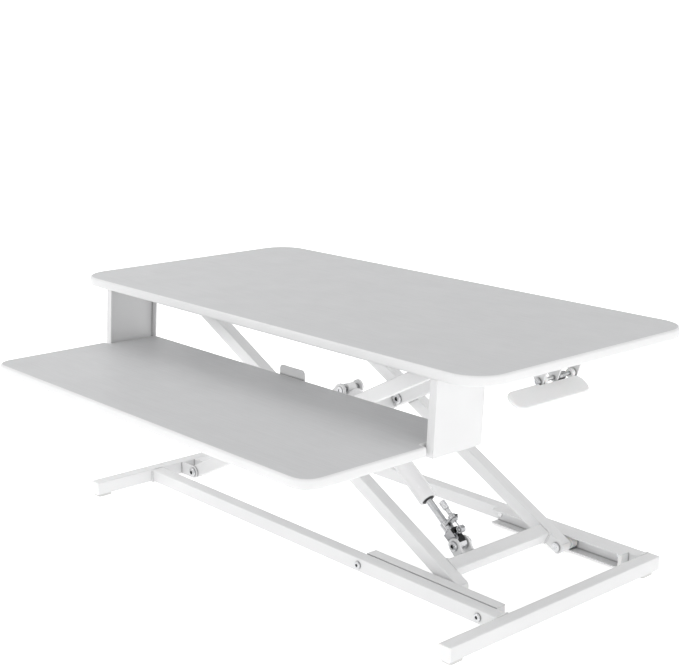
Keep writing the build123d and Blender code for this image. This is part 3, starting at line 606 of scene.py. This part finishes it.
def add_floor():
    """A wide pale floor that stays light in the shadows."""
    bpy.ops.mesh.primitive_plane_add(size=FLOOR_SIZE, location=(0, 0, 0))
    floor = bpy.context.object
    floor.name = "floor"
    material, tree, bsdf = shader("pale_floor")
    tint = ramp(tree, noise(tree, 3, 2), grey(0.90), grey(0.92))
    tree.links.new(tint, bsdf.inputs["Base Color"])
    bsdf.inputs["Roughness"].default_value = 0.9
    bsdf.inputs["Specular IOR Level"].default_value = 0.1
    bsdf.inputs["Emission Color"].default_value = (1, 1, 1, 1)
    bsdf.inputs["Emission Strength"].default_value = FLOOR_GLOW
    floor.data.materials.append(material)


def add_area_light(name, place, target, size, power):
    """A rectangular light of that size in metres and power in watts, aimed at the target."""
    data = bpy.data.lights.new(name, "AREA")
    data.shape = "RECTANGLE"
    data.size, data.size_y = size
    data.energy = power
    light = bpy.data.objects.new(name, data)
    light.location = place
    direction = Vector(target) - Vector(place)
    light.rotation_euler = direction.to_track_quat("-Z", "Y").to_euler()
    bpy.context.scene.collection.objects.link(light)


def grey_steps(tree, value, stops):
    """Greys that go from stop to stop as the value grows."""
    node = tree.nodes.new("ShaderNodeValToRGB")
    elements = node.color_ramp.elements
    elements.remove(elements[1])
    elements[0].position = stops[0][0]
    elements[0].color = (*grey(stops[0][1]), 1)
    for position, shade in stops[1:]:
        elements.new(position).color = (*grey(shade), 1)
    tree.links.new(value, node.inputs["Fac"])
    return node.outputs["Color"]


def dark_sectors(tree, direction):
    """A white surround with narrow dark sectors, for the chrome to reflect."""
    turn = tree.nodes.new("ShaderNodeTexGradient")
    turn.gradient_type = "RADIAL"
    tree.links.new(direction, turn.inputs["Vector"])
    across = (
        (-SECTOR_FADE, 1.0),
        (-1.0, SECTOR_SHADE),
        (1.0, SECTOR_SHADE),
        (SECTOR_FADE, 1.0),
    )
    stops = [(0.0, 1.0)]
    for middle in DARK_SECTORS:
        stops += [(middle + offset * SECTOR_HALF, shade) for offset, shade in across]
    return grey_steps(tree, turn.outputs["Fac"], stops)


def add_world():
    """A white studio whose dark sectors start above the horizon and end below the top."""
    world = bpy.data.worlds.new("studio")
    world.use_nodes = True
    tree = world.node_tree
    place = tree.nodes.new("ShaderNodeTexCoord")
    split = tree.nodes.new("ShaderNodeSeparateXYZ")
    tree.links.new(place.outputs["Generated"], split.inputs["Vector"])
    mix = tree.nodes.new("ShaderNodeMix")
    mix.data_type = "RGBA"
    mix.inputs["A"].default_value = (1, 1, 1, 1)
    strength = grey_steps(tree, split.outputs["Z"], SECTOR_HEIGHTS)
    tree.links.new(strength, mix.inputs["Factor"])
    tree.links.new(dark_sectors(tree, place.outputs["Generated"]), mix.inputs["B"])
    background = tree.nodes["Background"]
    tree.links.new(mix.outputs["Result"], background.inputs["Color"])
    background.inputs["Strength"].default_value = WORLD_STRENGTH
    bpy.context.scene.world = world


def add_lights():
    """A large soft key from the front left, a light above and a fill from the right."""
    add_area_light("key", (-1.4, -2.4, 2.0), target=(0, 0, 0.2), size=(2.2, 1.6), power=13)
    add_area_light("top", (-1.0, 0.4, 2.6), target=(-0.2, 0, 0.2), size=(2.0, 2.0), power=9)
    add_area_light("side", (2.8, -0.6, 0.7), target=(-0.2, 0, 0.25), size=(1.6, 0.8), power=6)


def add_camera():
    """A camera in front, to the right and a little above, like the photograph's."""
    data = bpy.data.cameras.new("camera")
    data.sensor_width = CAMERA_SENSOR
    data.lens = CAMERA_LENS
    data.clip_start = CAMERA_NEAR
    camera = bpy.data.objects.new("camera", data)
    turn = Euler((pi / 2 - CAMERA_ELEVATION, 0, CAMERA_AZIMUTH)).to_matrix()
    roll = Matrix.Rotation(CAMERA_ROLL, 3, "Z")
    camera.matrix_world = Matrix.Translation(CAMERA_PLACE) @ (turn @ roll).to_4x4()
    bpy.context.scene.collection.objects.link(camera)
    bpy.context.scene.camera = camera


def main():
    """Builds the stage and the looks."""
    add_camera()
    add_floor()
    add_world()
    add_lights()
    bpy.context.scene.view_settings.view_transform = "Standard"
    materials = make_materials()
    paint_nodes(materials)
    board("desktop_laminate_board", "desktop_board", "desktop", desk_outline, materials)
    board("tray_laminate_board", "keyboard_tray", "desktop", tray_outline, materials)
    add_weld_beads(materials["painted_steel"])
    # A black ring of painted shadow at the cylinder's lower end
    add_painted_shadow_ring(materials["shadow_ring"])


main()
